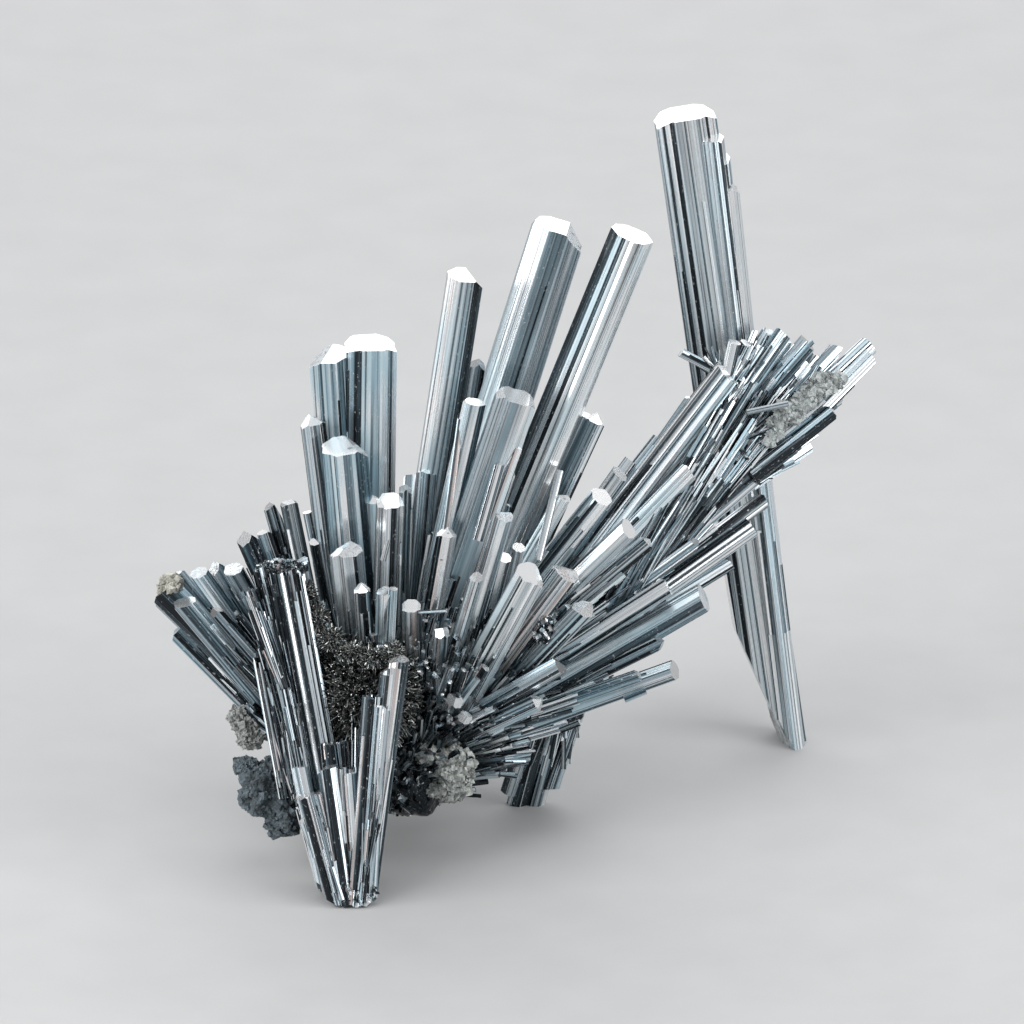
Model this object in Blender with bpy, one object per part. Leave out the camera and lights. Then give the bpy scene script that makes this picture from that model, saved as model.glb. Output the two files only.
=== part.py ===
"""Stibnite crystal spray: groups of bladed crystals that radiate from one root and stand on their own feet.

Run it with: blender --background --python part.py

The crystals are laid out on a sheet that leans back from upright, as the spray is shown to a viewer who
looks down on it a little. On the sheet, "across" counts steps to the right, "down" counts steps from its
top edge, and "toward" counts steps out of the sheet, to the viewer. place() turns such a point into
metres: +X right, +Y away from the viewer, +Z up, with the floor at Z = 0. Crystals that overlap are one
solid. Groups that only touch keep a thin gap.
"""

import math
import random
from collections import namedtuple

import bmesh
import bpy
from mathutils import Matrix, Vector, noise

# Driving dimensions, in metres and degrees.
SPRAY_WIDTH = 0.2178  # from the left fan's tips to the outer cluster's tips
SHEET_LEAN = 22.0  # how far the layout sheet leans back from upright
CONTACT_GAP = 0.0003  # between pieces that touch

# The layout sheet.
LAYOUT_WIDTH = 726  # SPRAY_WIDTH in steps
STEP = SPRAY_WIDTH / LAYOUT_WIDTH
FLOOR_DOWN = 905  # where the sheet meets the floor
MIDDLE_ACROSS = 517.1  # the spray's middle from left to right
MIDDLE_BACK = 262.5  # the spray's middle from front to back, in steps behind the sheet's foot

# Flat sides of a crystal, by its width in steps.
THICK_SIDES = 8
THIN_SIDES = 6
THICK_FROM = 18
NEEDLE_SIDES = 4
NEEDLE_UP_TO = 6
SEED = 7

# A crystal's end, as the faces that cut it: (tilt from square in degrees, heading round the axis in degrees
# from the crystal's right hand as it faces the viewer, counted towards the viewer, share of the half width
# at which the face meets the full length).
ENDS = {
    "square": (),
    "flat": ((8, 95, -0.4),),
    "facing": ((30, 98, -0.4),),
    "dome": ((6, 95, -0.4), (36, 20, 0.55), (34, 165, 0.55)),
    "wedge": ((14, 75, -0.3), (42, 185, 0.25)),
    "roof": ((38, 5, 0.1), (34, 185, 0.1), (24, 92, -0.2)),
    "slant": ((34, 10, 0.0), (16, 95, -0.2)),
    "point": ((52, 40, 0.1), (55, 160, 0.1), (50, 275, 0.1)),
    "broken": ((16, 120, 0.1), (26, 320, 0.2)),
    "splinter": ((72, 175, 0.35), (30, 20, 0.3)),
    "leg": ((74.5, 0, -0.60), (88.7, 0, 0.66)),
    "shin": ((74.5, 0, -0.06),),
    "arch": ((6, 95, -0.4), (34, 20, 0.75), (42, 168, 0.25)),
    "toe": ((52, 180, 0.1), (46, 0, 0.2)),
}

Crystal = namedtuple("Crystal", "foot tip width depth roll end heel", defaults=(0, "flat", "square"))
Lump = namedtuple("Lump", "centre radii roughness detail seed")

# Every group of crystals: foot and tip as (across, down, toward), width and depth in steps, roll in
# degrees, the faces at the tip and, where it shows, those at the foot.
LONG_CRYSTAL = (
    Crystal((783, 775, -412), (685, 110, -228), 63, 46, 6, "dome", "leg"),
    Crystal((790, 765, -400), (711, 134, -224), 24, 34, 20, "flat", "leg"),
    Crystal((779, 640, -372), (722, 158, -232), 18, 26, -15, "slant"),
    Crystal((771, 560, -352), (729, 179, -236), 20, 22, 12, "point"),
    Crystal((797, 765, -392), (760, 470, -312), 26, 26, 24, "flat", "shin"),
)
TALL_GROUP = (
    Crystal((366, 690, -150), (371, 342, -40), 52, 46, 6, "dome"),
    Crystal((350, 690, -150), (330, 352, -44), 40, 40, -8, "slant"),
    Crystal((346, 680, -130), (313, 418, -36), 25, 20, 12, "roof"),
    Crystal((366, 690, -116), (345, 444, -14), 46, 34, 4, "wedge"),
    Crystal((384, 690, -110), (391, 500, 8), 28, 26, 10, "dome"),
    Crystal((400, 680, -120), (406, 485, -62), 13, 12, 0, "point"),
    Crystal((362, 690, -80), (347, 549, 8), 33, 24, 14, "broken"),
    Crystal((370, 690, -60), (363, 586, 16), 17, 13, 0, "roof"),
    Crystal((381, 690, -58), (385, 590, 20), 15, 14, 30, "broken"),
    Crystal((340, 680, -100), (316, 541, -20), 12, 11, 10, "wedge"),
    Crystal((380, 690, -120), (374, 498, -30), 16, 14, 0, "roof"),
)
CENTRE_FAN = (
    Crystal((403, 680, -140), (466, 275, -10), 37, 28, 10, "wedge"),
    Crystal((412, 690, -145), (560, 227, -24), 56, 44, 6, "arch"),
    Crystal((441, 700, -130), (632, 235, 4), 44, 38, -14, "flat"),
    Crystal((418, 690, -110), (517, 396, 14), 42, 32, 10, "dome"),
    Crystal((466, 700, -132), (597, 416, -60), 22, 22, 0, "roof"),
    Crystal((452, 690, -110), (563, 496, -40), 17, 16, 15, "broken"),
    Crystal((428, 690, -140), (479, 360, -56), 15, 14, 0, "point"),
    Crystal((410, 690, -100), (475, 402, 0), 22, 16, 15, "flat"),
    Crystal((450, 700, -90), (504, 515, 24), 20, 18, 0, "broken"),
    Crystal((440, 700, -80), (477, 576, 30), 13, 12, 20, "slant"),
    Crystal((457, 710, -80), (532, 572, 34), 32, 26, 8, "wedge"),
    Crystal((470, 700, -100), (566, 571, -6), 28, 22, 0, "broken"),
    Crystal((446, 720, -70), (456, 697, -10), 17, 15, 0, "point"),
    Crystal((446, 722, -90), (467, 716, -20), 15, 13, 40, "point"),
    Crystal((412, 690, -90), (412, 605, 0), 19, 17, 0, "dome"),
    Crystal((410, 690, -120), (428, 470, -64), 22, 20, 20, "broken"),
    Crystal((420, 690, -96), (448, 530, -10), 20, 16, 0, "roof"),
    Crystal((436, 700, -90), (443, 628, 6), 15, 14, 15, "point"),
    Crystal((430, 700, -110), (505, 470, -20), 22, 20, 15, "broken"),
)
RIGHT_BUNDLE = (
    Crystal((497, 672, -130), (730, 369, -214), 28, 28, 12, "facing"),
    Crystal((484, 660, -140), (659, 438, -196), 13, 14, 0, "flat"),
    Crystal((480, 664, -138), (631, 460, -172), 13, 13, 0, "flat"),
    Crystal((520, 640, -150), (691, 396, -208), 8, 9, 0, "point"),
    Crystal((488, 660, -120), (621, 472, -128), 18, 17, 10, "facing"),
    Crystal((462, 672, -110), (603, 494, -72), 23, 21, -10, "facing"),
    Crystal((470, 680, -100), (630, 527, -66), 21, 19, 20, "facing"),
    Crystal((492, 704, -104), (585, 607, -16), 22, 20, 12, "slant"),
    Crystal((490, 672, -140), (744, 390, -232), 17, 20, 0, "flat"),
    Crystal((500, 680, -140), (714, 437, -204), 14, 17, 10, "slant"),
    Crystal((500, 690, -150), (764, 463, -246), 28, 22, 14, "flat"),
    Crystal((520, 672, -156), (740, 409, -256), 22, 24, 0, "broken"),
    Crystal((480, 700, -120), (699, 541, -190), 15, 15, 20, "point"),
    Crystal((500, 705, -150), (753, 527, -250), 22, 20, 0, "flat"),
    Crystal((500, 700, -160), (766, 499, -262), 17, 17, 30, "broken"),
    Crystal((510, 700, -170), (733, 563, -240), 14, 15, 0, "slant"),
    Crystal((486, 680, -136), (690, 470, -186), 22, 18, 20, "broken"),
    Crystal((480, 680, -110), (650, 540, -110), 18, 18, 0, "roof"),
    Crystal((486, 700, -108), (572, 608, -36), 16, 16, 10, "broken"),
    Crystal((490, 700, -130), (668, 586, -150), 20, 18, 0, "broken"),
)
LOWER_RIGHT_FAN = (
    Crystal((452, 744, -116), (707, 596, -184), 29, 24, 12, "facing"),
    Crystal((450, 750, -120), (677, 669, -130), 20, 18, 6, "facing"),
    Crystal((452, 740, -100), (640, 675, -108), 13, 13, 20, "slant"),
    Crystal((456, 744, -130), (664, 641, -158), 14, 13, 0, "point"),
    Crystal((446, 730, -90), (560, 664, -40), 20, 16, 10, "broken"),
    Crystal((446, 745, -90), (540, 700, -44), 18, 15, 0, "roof"),
    Crystal((450, 752, -134), (604, 664, -204), 24, 24, 30, "broken"),
    Crystal((440, 758, -110), (566, 722, -150), 18, 20, 0, "broken"),
    Crystal((436, 772, -110), (528, 754, -156), 20, 20, 20, "broken"),
)
LEFT_FAN = (
    Crystal((322, 745, -122), (163, 590, -128), 32, 26, 10, "broken"),
    Crystal((318, 762, -116), (183, 600, -106), 22, 22, 30, "facing"),
    Crystal((312, 730, -112), (198, 571, -96), 18, 17, 10, "facing"),
    Crystal((312, 740, -140), (176, 572, -150), 15, 15, 0, "roof"),
    Crystal((306, 710, -120), (214, 563, -112), 20, 13, 40, "point"),
    Crystal((308, 700, -112), (232, 567, -84), 20, 18, 14, "facing"),
    Crystal((318, 700, -124), (245, 532, -96), 22, 18, 30, "point"),
    Crystal((322, 700, -120), (264, 531, -100), 15, 14, 0, "wedge"),
    Crystal((326, 700, -130), (271, 506, -112), 15, 13, 20, "splinter"),
    Crystal((330, 700, -130), (289, 502, -92), 17, 17, 14, "dome"),
    Crystal((306, 766, -130), (174, 632, -138), 15, 14, 0, "slant"),
    Crystal((312, 722, -96), (214, 608, -66), 13, 13, 0, "point"),
    Crystal((326, 700, -110), (300, 560, -60), 18, 18, 0, "broken"),
    Crystal((320, 740, -140), (210, 640, -180), 26, 24, 20, "wedge"),
)
BACK_FAN = (
    Crystal((396, 700, -170), (374, 556, -276), 32, 26, 10, "dome"),
    Crystal((408, 700, -170), (444, 500, -290), 36, 28, 20, "wedge"),
    Crystal((424, 705, -170), (510, 556, -306), 30, 24, 0, "dome"),
    Crystal((384, 710, -170), (322, 596, -262), 28, 22, 14, "wedge"),
    Crystal((420, 720, -180), (470, 610, -340), 26, 22, 0, "roof"),
    Crystal((440, 710, -170), (566, 612, -286), 26, 22, 10, "flat"),
    Crystal((400, 720, -180), (400, 636, -330), 28, 22, 30, "broken"),
    Crystal((404, 700, -160), (418, 476, -236), 30, 24, 0, "flat"),
    Crystal((380, 720, -160), (294, 640, -236), 24, 20, 0, "point"),
    Crystal((424, 730, -180), (514, 676, -316), 24, 20, 20, "slant"),
    Crystal((388, 730, -180), (346, 660, -304), 22, 20, 0, "roof"),
    Crystal((436, 720, -190), (484, 580, -300), 20, 18, 0, "broken"),
    Crystal((402, 740, -150), (298, 812, -362), 36, 30, 10, "square"),
)
FRONT_COLUMN = (
    Crystal((340, 868, -24), (285, 570, 4), 38, 34, 4, "broken"),
    Crystal((322, 800, -18), (262, 566, 8), 18, 18, 20, "broken"),
    Crystal((330, 800, -36), (301, 566, -14), 17, 18, 0, "flat"),
    Crystal((318, 780, -10), (249, 590, 20), 13, 13, 30, "slant"),
    Crystal((290, 800, -12), (264, 654, 0), 19, 18, 10, "wedge"),
    Crystal((312, 800, -4), (289, 686, 12), 14, 14, 0, "roof"),
    Crystal((330, 840, -50), (312, 650, -46), 26, 30, 14, "flat"),
    Crystal((330, 810, -60), (290, 700, -70), 26, 34, 0, "broken"),
)
FRONT_FOOT = (
    Crystal((366, 902, -12), (400, 656, 20), 20, 22, 10, "slant", "toe"),
    Crystal((356, 935, -8), (376, 694, 22), 26, 24, -12, "wedge"),
    Crystal((364, 900, 0), (388, 672, 26), 14, 14, 0, "flat", "toe"),
    Crystal((338, 902, -4), (309, 792, 14), 20, 18, 14, "dome", "toe"),
    Crystal((350, 940, -20), (332, 740, -6), 34, 28, 0, "flat"),
    Crystal((342, 925, -34), (310, 802, -30), 28, 26, 20, "broken"),
    Crystal((360, 930, -16), (350, 764, 6), 28, 24, 0, "roof"),
)
OUTER_CLUSTER = (
    Crystal((714, 450, -222), (811, 340, -268), 20, 18, 8, "facing"),
    Crystal((752, 456, -236), (873, 343, -298), 20, 17, 14, "flat"),
    Crystal((758, 468, -240), (872, 353, -294), 23, 18, -8, "dome"),
    Crystal((768, 424, -240), (841, 347, -292), 14, 14, 10, "splinter"),
    Crystal((752, 476, -232), (836, 409, -262), 18, 16, 0, "roof"),
    Crystal((752, 484, -244), (812, 444, -276), 15, 15, 10, "slant"),
    Crystal((744, 484, -236), (794, 459, -262), 12, 13, 0, "broken"),
    Crystal((716, 430, -214), (785, 332, -250), 18, 17, 0, "broken"),
    Crystal((718, 416, -222), (773, 329, -274), 16, 18, 30, "point"),
    Crystal((716, 412, -214), (749, 341, -232), 15, 15, 0, "facing"),
    Crystal((730, 440, -240), (800, 372, -300), 34, 30, 0, "broken"),
    Crystal((766, 440, -256), (808, 352, -336), 24, 22, 14, "wedge"),
    Crystal((764, 446, -256), (846, 390, -336), 22, 20, 0, "point"),
    Crystal((742, 383, -222), (681, 351, -232), 9, 9, 20, "facing"),
    Crystal((736, 452, -236), (812, 362, -290), 26, 22, 0, "roof"),
)
FOOT_STUBS = (
    Crystal((548, 690, -200), (514, 822, -258), 22, 26, 10, "broken"),
    Crystal((566, 690, -204), (532, 818, -256), 20, 24, 0, "slant"),
    Crystal((580, 700, -210), (550, 790, -240), 17, 20, 20, "splinter"),
    Crystal((530, 724, -196), (508, 794, -236), 16, 20, 0, "broken"),
)

# The base from which a group's crystals grow.
KNOTS = {
    "tall_group": Lump((368, 690, -104), (32, 26, 50), 0.2, 2, 21),
    "centre_fan": Lump((436, 704, -106), (38, 32, 46), 0.2, 2, 22),
    "right_bundle": Lump((486, 686, -128), (34, 28, 44), 0.2, 2, 23),
    "lower_right_fan": Lump((452, 748, -116), (28, 26, 34), 0.2, 2, 24),
    "left_fan": Lump((320, 730, -120), (24, 42, 30), 0.2, 2, 25),
    "back_fan": Lump((406, 714, -184), (46, 34, 34), 0.2, 2, 26),
    "outer_cluster": Lump((740, 444, -240), (20, 30, 24), 0.2, 2, 27),
    "foot_stubs": Lump((556, 712, -206), (26, 20, 22), 0.2, 2, 28),
}
ROOT_LUMP = Lump((398, 752, -128), (74, 58, 76), 0.22, 2, 3)
NEEDLE_CRUST = Lump((364, 692, -38), (44, 46, 34), 0.24, 2, 8)
MATRIX_LUMPS = {
    "matrix_left_upper": (
        Lump((246, 718, -140), (19, 17, 22), 0.40, 2, 11),
        Lump((251, 737, -134), (15, 12, 18), 0.40, 2, 31),
    ),
    "matrix_left_lower": (
        Lump((268, 788, -60), (29, 31, 36), 0.40, 2, 12),
        Lump((284, 819, -66), (21, 20, 30), 0.40, 2, 32),
        Lump((248, 765, -66), (13, 9, 14), 0.40, 1, 33),
    ),
    "matrix_front": (
        Lump((454, 764, -64), (23, 26, 22), 0.40, 2, 13),
        Lump((428, 752, -60), (18, 11, 18), 0.40, 2, 34),
        Lump((450, 786, -76), (22, 14, 20), 0.40, 1, 35),
    ),
    "matrix_outer": (
        Lump((772, 440, -222), (11, 22, 12), 0.30, 1, 14),
        Lump((786, 418, -228), (14, 19, 12), 0.30, 1, 36),
        Lump((803, 401, -240), (17, 15, 12), 0.30, 1, 37),
        Lump((824, 387, -248), (18, 12, 13), 0.30, 1, 38),
        Lump((845, 371, -258), (18, 11, 13), 0.30, 1, 39),
    ),
}
NEEDLE_COUNT = 20
NEEDLE_LENGTH = (12, 24)  # steps
NEEDLE_WIDTH = 4  # steps

# Colour as Blender reads it, metallic and roughness.
STEEL = ((0.42, 0.47, 0.51, 1.0), 1.0, 0.22)
DARK_STEEL = ((0.20, 0.23, 0.25, 1.0), 0.9, 0.35)
STONE = ((0.38, 0.37, 0.33, 1.0), 0.0, 0.85)

# Groups in the order in which they are fitted: each is cut clear of those before it.
GROUPS = {
    "long_crystal": LONG_CRYSTAL,
    "tall_group": TALL_GROUP,
    "centre_fan": CENTRE_FAN,
    "right_bundle": RIGHT_BUNDLE,
    "front_foot": FRONT_FOOT,
    "lower_right_fan": LOWER_RIGHT_FAN,
    "left_fan": LEFT_FAN,
    "back_fan": BACK_FAN,
    "front_column": FRONT_COLUMN,
    "outer_cluster": OUTER_CLUSTER,
    "foot_stubs": FOOT_STUBS,
}


def place(across, down, toward):
    """A layout point in metres."""
    lean = math.radians(SHEET_LEAN)
    up = FLOOR_DOWN - down
    back = up * math.sin(lean) - toward * math.cos(lean) - MIDDLE_BACK
    height = up * math.cos(lean) + toward * math.sin(lean)
    return STEP * Vector((across - MIDDLE_ACROSS, back, height))


def placement(crystal):
    """The matrix that stands an upright crystal at its foot, its right hand turned by its roll."""
    foot, tip = place(*crystal.foot), place(*crystal.tip)
    axis = (tip - foot).normalized()
    viewer = place(0, 0, 1) - place(0, 0, 0)
    right = axis.cross(-viewer).normalized()
    turned = Matrix.Rotation(math.radians(crystal.roll), 3, axis) @ right
    ahead = axis.cross(turned)
    return Matrix.Translation(foot) @ Matrix((turned, ahead, axis)).transposed().to_4x4()


def sides_of(width):
    if width <= NEEDLE_UP_TO:
        return NEEDLE_SIDES
    return THICK_SIDES if width >= THICK_FROM else THIN_SIDES


def cut(bm, point, normal):
    """Takes off what lies beyond a plane and closes the cut."""
    geometry = bm.verts[:] + bm.edges[:] + bm.faces[:]
    made = bmesh.ops.bisect_plane(bm, geom=geometry, plane_co=point, plane_no=normal, clear_outer=True)
    rim = [item for item in made["geom_cut"] if isinstance(item, bmesh.types.BMEdge)]
    if rim:
        bmesh.ops.holes_fill(bm, edges=rim, sides=0)


def end_faces(kind, half_width):
    """(point, normal) of each face that ends a crystal whose tip is at the origin."""
    for tilt, heading, reach in ENDS[kind]:
        heading = math.radians(heading)
        outwards = Vector((math.cos(heading), math.sin(heading), 0))
        tilt = math.radians(tilt)
        yield reach * half_width * outwards, math.sin(tilt) * outwards + math.cos(tilt) * Vector((0, 0, 1))


def crystal_mesh(name, crystal, grow=0.0):
    """An upright prism with its end faces cut, grown outwards by grow."""
    length = (place(*crystal.tip) - place(*crystal.foot)).length
    width, depth = crystal.width * STEP, crystal.depth * STEP
    spare = 0.5 * width if ENDS[crystal.end] else 0
    sides = sides_of(crystal.width)
    bm = bmesh.new()
    turn = Matrix.Rotation(math.pi / sides, 4, "Z")
    bmesh.ops.create_cone(bm, cap_ends=True, segments=sides, radius1=0.5, radius2=0.5, depth=1, matrix=turn)
    bmesh.ops.translate(bm, verts=bm.verts, vec=(0, 0, 0.5))
    flats = math.cos(math.pi / sides)
    size = ((width + 2 * grow) / flats, (depth + 2 * grow) / flats, length + spare + 2 * grow)
    bmesh.ops.scale(bm, verts=bm.verts, vec=size)
    bmesh.ops.translate(bm, verts=bm.verts, vec=(0, 0, -grow))
    for point, normal in end_faces(crystal.end, width / 2):
        cut(bm, point + Vector((0, 0, length)) + grow * normal, normal)
    for point, normal in end_faces(crystal.heel, width / 2):
        normal.z = -normal.z
        cut(bm, point + grow * normal, normal)
    return finished_mesh(name, bm)


def lump_mesh(name, lump, grow=0.0):
    """A rough boulder, in place. Its slopes need half as much again as grow to clear it all round."""
    bm = bmesh.new()
    bmesh.ops.create_icosphere(bm, subdivisions=lump.detail, radius=1)
    away = lump.seed * Vector((3.7, 1.9, 5.3))
    wider = 1.5 * grow / STEP
    for vert in bm.verts:
        broad = noise.noise(vert.co * 1.6 + away)
        fine = noise.noise(vert.co * 4 + away)
        swell = 1 + lump.roughness * (broad + 0.5 * fine)
        reach = [(swell * radius + wider) * part for radius, part in zip(lump.radii, vert.co)]
        vert.co = place(*(at + step for at, step in zip(lump.centre, reach)))
    return finished_mesh(name, bm)


def finished_mesh(name, bm):
    mesh = bpy.data.meshes.new(name)
    bm.normal_update()
    bmesh.ops.recalc_face_normals(bm, faces=bm.faces)
    bm.to_mesh(mesh)
    bm.free()
    return mesh


def helper(name, mesh, matrix, collection):
    """An object that only shapes others."""
    made = bpy.data.objects.new(name, mesh)
    made.matrix_world = matrix
    made.hide_render = True
    made.display_type = "WIRE"
    collection.objects.link(made)
    return made


def helper_collection(name):
    made = bpy.data.collections.new(name)
    made.hide_render = True
    bpy.context.scene.collection.children.link(made)
    return made


def boolean(target, operation, collection):
    modifier = target.modifiers.new(operation.title(), "BOOLEAN")
    modifier.operation = operation
    modifier.solver = "EXACT"
    modifier.operand_type = "COLLECTION"
    modifier.collection = collection


def shaped(name, first, joined, cutters=None):
    """The mesh, in place, of first joined with every shape in joined, less the cutters."""
    rough = helper(name + "_rough", first.data, first.matrix_world, bpy.context.scene.collection)
    if joined.objects:
        boolean(rough, "UNION", joined)
    if cutters:
        boolean(rough, "DIFFERENCE", cutters)
    bpy.context.view_layer.update()
    graph = bpy.context.evaluated_depsgraph_get()
    mesh = bpy.data.meshes.new_from_object(rough.evaluated_get(graph), depsgraph=graph)
    mesh.transform(rough.matrix_world)
    mesh.name = name
    bpy.data.objects.remove(rough)
    return mesh


def bodies(bm):
    """The vertices of each separate body of a mesh."""
    left = set(bm.verts)
    while left:
        body, edge = set(), [left.pop()]
        while edge:
            vert = edge.pop()
            body.add(vert)
            near = {link.other_vert(vert) for link in vert.link_edges} & left
            left -= near
            edge.extend(near)
        yield body


def extent(verts):
    return math.prod(max(v.co[i] for v in verts) - min(v.co[i] for v in verts) for i in range(3))


def drop_chips(mesh):
    """Leaves only the largest body, so that no chip left by a cut floats beside it."""
    bm = bmesh.new()
    bm.from_mesh(mesh)
    chips = sorted(bodies(bm), key=extent)[:-1]
    bmesh.ops.delete(bm, geom=[vert for body in chips for vert in body], context="VERTS")
    bmesh.ops.triangulate(bm, faces=bm.faces)
    bm.to_mesh(mesh)
    bm.free()


def finish(name, colour, metallic, roughness):
    made = bpy.data.materials.new(name)
    made.use_nodes = True
    shader = made.node_tree.nodes["Principled BSDF"]
    shader.inputs["Base Color"].default_value = colour
    shader.inputs["Metallic"].default_value = metallic
    shader.inputs["Roughness"].default_value = roughness
    return made


def add_node(name, shapes, rooms, cutters, spray, look):
    """One solid of the shapes, cut clear of the cutters, to which the shapes' own rooms are then added."""
    joined = helper_collection(name + "_shapes")
    first, *others = [helper(f"{name}_{i}", mesh, matrix, joined) for i, (mesh, matrix) in enumerate(shapes)]
    joined.objects.unlink(first)
    mesh = shaped(name, first, joined, cutters)
    drop_chips(mesh)
    mesh.materials.clear()
    mesh.materials.append(finish(name, *look))
    spray.objects.link(bpy.data.objects.new(name, mesh))
    for i, (room, matrix) in enumerate(rooms):
        helper(f"{name}_room_{i}", room, matrix, cutters)


def lump_shape(name, lump, grow=0.0):
    return lump_mesh(name, lump, grow), Matrix()


def crystal_shape(name, crystal, grow=0.0):
    return crystal_mesh(name, crystal, grow), placement(crystal)


def add_group(name, crystals, cutters, spray, look):
    """Crystals that overlap, on the knot that they grow from where they have one."""
    shapes = [crystal_shape(name, crystal) for crystal in crystals]
    rooms = [crystal_shape(name + "_room", crystal, CONTACT_GAP) for crystal in crystals]
    if name in KNOTS:
        shapes.append(lump_shape(name, KNOTS[name]))
        rooms.append(lump_shape(name + "_room", KNOTS[name], CONTACT_GAP))
    add_node(name, shapes, rooms, cutters, spray, look)


def add_lumps(name, lumps, cutters, spray, look, needles=()):
    shapes = [lump_shape(name, lump) for lump in lumps]
    shapes += [crystal_shape(name, needle) for needle in needles]
    rooms = [lump_shape(name + "_room", lump, CONTACT_GAP) for lump in lumps]
    add_node(name, shapes, rooms, cutters, spray, look)


def add_floor(collection):
    """What lies under the floor, which flattens every foot."""
    depth = 0.1
    bm = bmesh.new()
    bmesh.ops.create_cube(bm, size=1)
    matrix = Matrix.Translation((0, 0, -depth / 2)) @ Matrix.Diagonal((1, 1, depth, 1))
    helper("under_floor", finished_mesh("under_floor", bm), matrix, collection)


def crust_needles(lump, rng):
    """Short needles that stand out of a lump, most of them on the side that faces up and to the viewer."""
    for _ in range(NEEDLE_COUNT):
        way = Vector((rng.uniform(-1, 1), rng.uniform(-1, 0.6), rng.uniform(-0.2, 1))).normalized()
        foot = [at + 0.8 * radius * part for at, radius, part in zip(lump.centre, lump.radii, way)]
        stray = Vector([rng.uniform(-0.5, 0.5) for _ in range(3)])
        way = (way + stray).normalized()
        length = rng.uniform(*NEEDLE_LENGTH)
        tip = [start + length * part for start, part in zip(foot, way)]
        yield Crystal(foot, tip, NEEDLE_WIDTH, NEEDLE_WIDTH, rng.uniform(0, 90), "slant")


def main():
    for obj in list(bpy.data.objects):
        bpy.data.objects.remove(obj)
    spray = bpy.data.collections.new("stibnite_spray")
    bpy.context.scene.collection.children.link(spray)
    cutters = helper_collection("cutters")
    add_floor(cutters)
    for name, crystals in GROUPS.items():
        add_group(name, crystals, cutters, spray, STEEL)
    add_lumps("root_mass", [ROOT_LUMP], cutters, spray, STEEL)
    for name, lumps in MATRIX_LUMPS.items():
        add_lumps(name, lumps, cutters, spray, STONE)
    needles = crust_needles(NEEDLE_CRUST, random.Random(SEED))
    add_lumps("needle_crust", [NEEDLE_CRUST], cutters, spray, DARK_STEEL, needles)


main()
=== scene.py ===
"""The looks of the stibnite crystal spray: striated crystals, needle druse and matrix.

The crystals stand where part.py puts them: on a sheet that leans back from upright, with
"across" in steps to the right, "down" in steps from its top edge and "toward" in steps out of
it, to the viewer. place() turns such a point into metres. Each crystal is a prism with a
fluted outline, and its tip is cut by flat faces.
"""

import math
import random
from collections import namedtuple

import bmesh
import bpy
import numpy as np
from mathutils import Matrix, Vector, noise


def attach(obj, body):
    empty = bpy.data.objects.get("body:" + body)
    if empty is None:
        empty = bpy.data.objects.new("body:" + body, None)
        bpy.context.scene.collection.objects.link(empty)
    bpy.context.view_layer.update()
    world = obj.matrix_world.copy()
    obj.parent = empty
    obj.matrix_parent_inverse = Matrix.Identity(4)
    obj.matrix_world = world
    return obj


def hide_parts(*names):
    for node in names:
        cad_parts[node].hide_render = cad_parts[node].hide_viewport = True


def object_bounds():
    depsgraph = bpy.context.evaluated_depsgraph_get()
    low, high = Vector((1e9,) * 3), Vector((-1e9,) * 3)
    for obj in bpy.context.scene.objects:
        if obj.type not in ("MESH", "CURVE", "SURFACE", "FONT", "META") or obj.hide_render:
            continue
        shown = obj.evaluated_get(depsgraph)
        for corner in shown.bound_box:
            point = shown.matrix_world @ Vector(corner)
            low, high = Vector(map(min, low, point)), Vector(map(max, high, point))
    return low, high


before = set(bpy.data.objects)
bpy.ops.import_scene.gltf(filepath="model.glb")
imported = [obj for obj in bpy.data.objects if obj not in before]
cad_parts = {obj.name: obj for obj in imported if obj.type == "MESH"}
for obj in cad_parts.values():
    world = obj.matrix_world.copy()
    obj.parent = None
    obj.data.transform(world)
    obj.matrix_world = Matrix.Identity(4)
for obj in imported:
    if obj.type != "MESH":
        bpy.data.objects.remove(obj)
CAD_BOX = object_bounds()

# Driving dimensions, in metres and degrees.
SPRAY_WIDTH = 0.2178  # from the left fan's tips to the outer cluster's tips
SHEET_LEAN = 22.0  # how far the layout sheet leans back from upright

# The layout sheet.
LAYOUT_WIDTH = 726  # SPRAY_WIDTH in steps
STEP = SPRAY_WIDTH / LAYOUT_WIDTH
FLOOR_DOWN = 905  # where the sheet meets the floor
MIDDLE_ACROSS = 517.1  # the spray's middle from left to right
MIDDLE_BACK = 262.5  # the spray's middle from front to back, in steps behind the sheet's foot

# A crystal's end, as the faces that cut it: (tilt from square in degrees, heading round the axis in degrees
# from the crystal's right hand as it faces the viewer, counted towards the viewer, share of the half width
# at which the face meets the full length).
ENDS = {
    "square": (),
    "flat": ((8, 95, -0.4),),
    "facing": ((30, 98, -0.4),),
    "dome": ((6, 95, -0.4), (36, 20, 0.55), (34, 165, 0.55)),
    "wedge": ((14, 75, -0.3), (42, 185, 0.25)),
    "roof": ((38, 5, 0.1), (34, 185, 0.1), (24, 92, -0.2)),
    "slant": ((34, 10, 0.0), (16, 95, -0.2)),
    "point": ((52, 40, 0.1), (55, 160, 0.1), (50, 275, 0.1)),
    "broken": ((16, 120, 0.1), (26, 320, 0.2)),
    "splinter": ((72, 175, 0.35), (30, 20, 0.3)),
    "leg": ((74.5, 0, -0.60), (88.7, 0, 0.66)),
    "shin": ((74.5, 0, -0.06),),
    "arch": ((6, 95, -0.4), (34, 20, 0.75), (42, 168, 0.25)),
    "toe": ((52, 180, 0.1), (46, 0, 0.2)),
}

Crystal = namedtuple("Crystal", "foot tip width depth roll end heel", defaults=(0, 0, 0, "flat", "square"))
Lump = namedtuple("Lump", "centre radii roughness seed", defaults=(0, 0))


def table(*rows):
    """Crystals, each from its foot, tip, width, depth, roll, end and heel."""
    return tuple(Crystal(*row) for row in rows)


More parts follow.
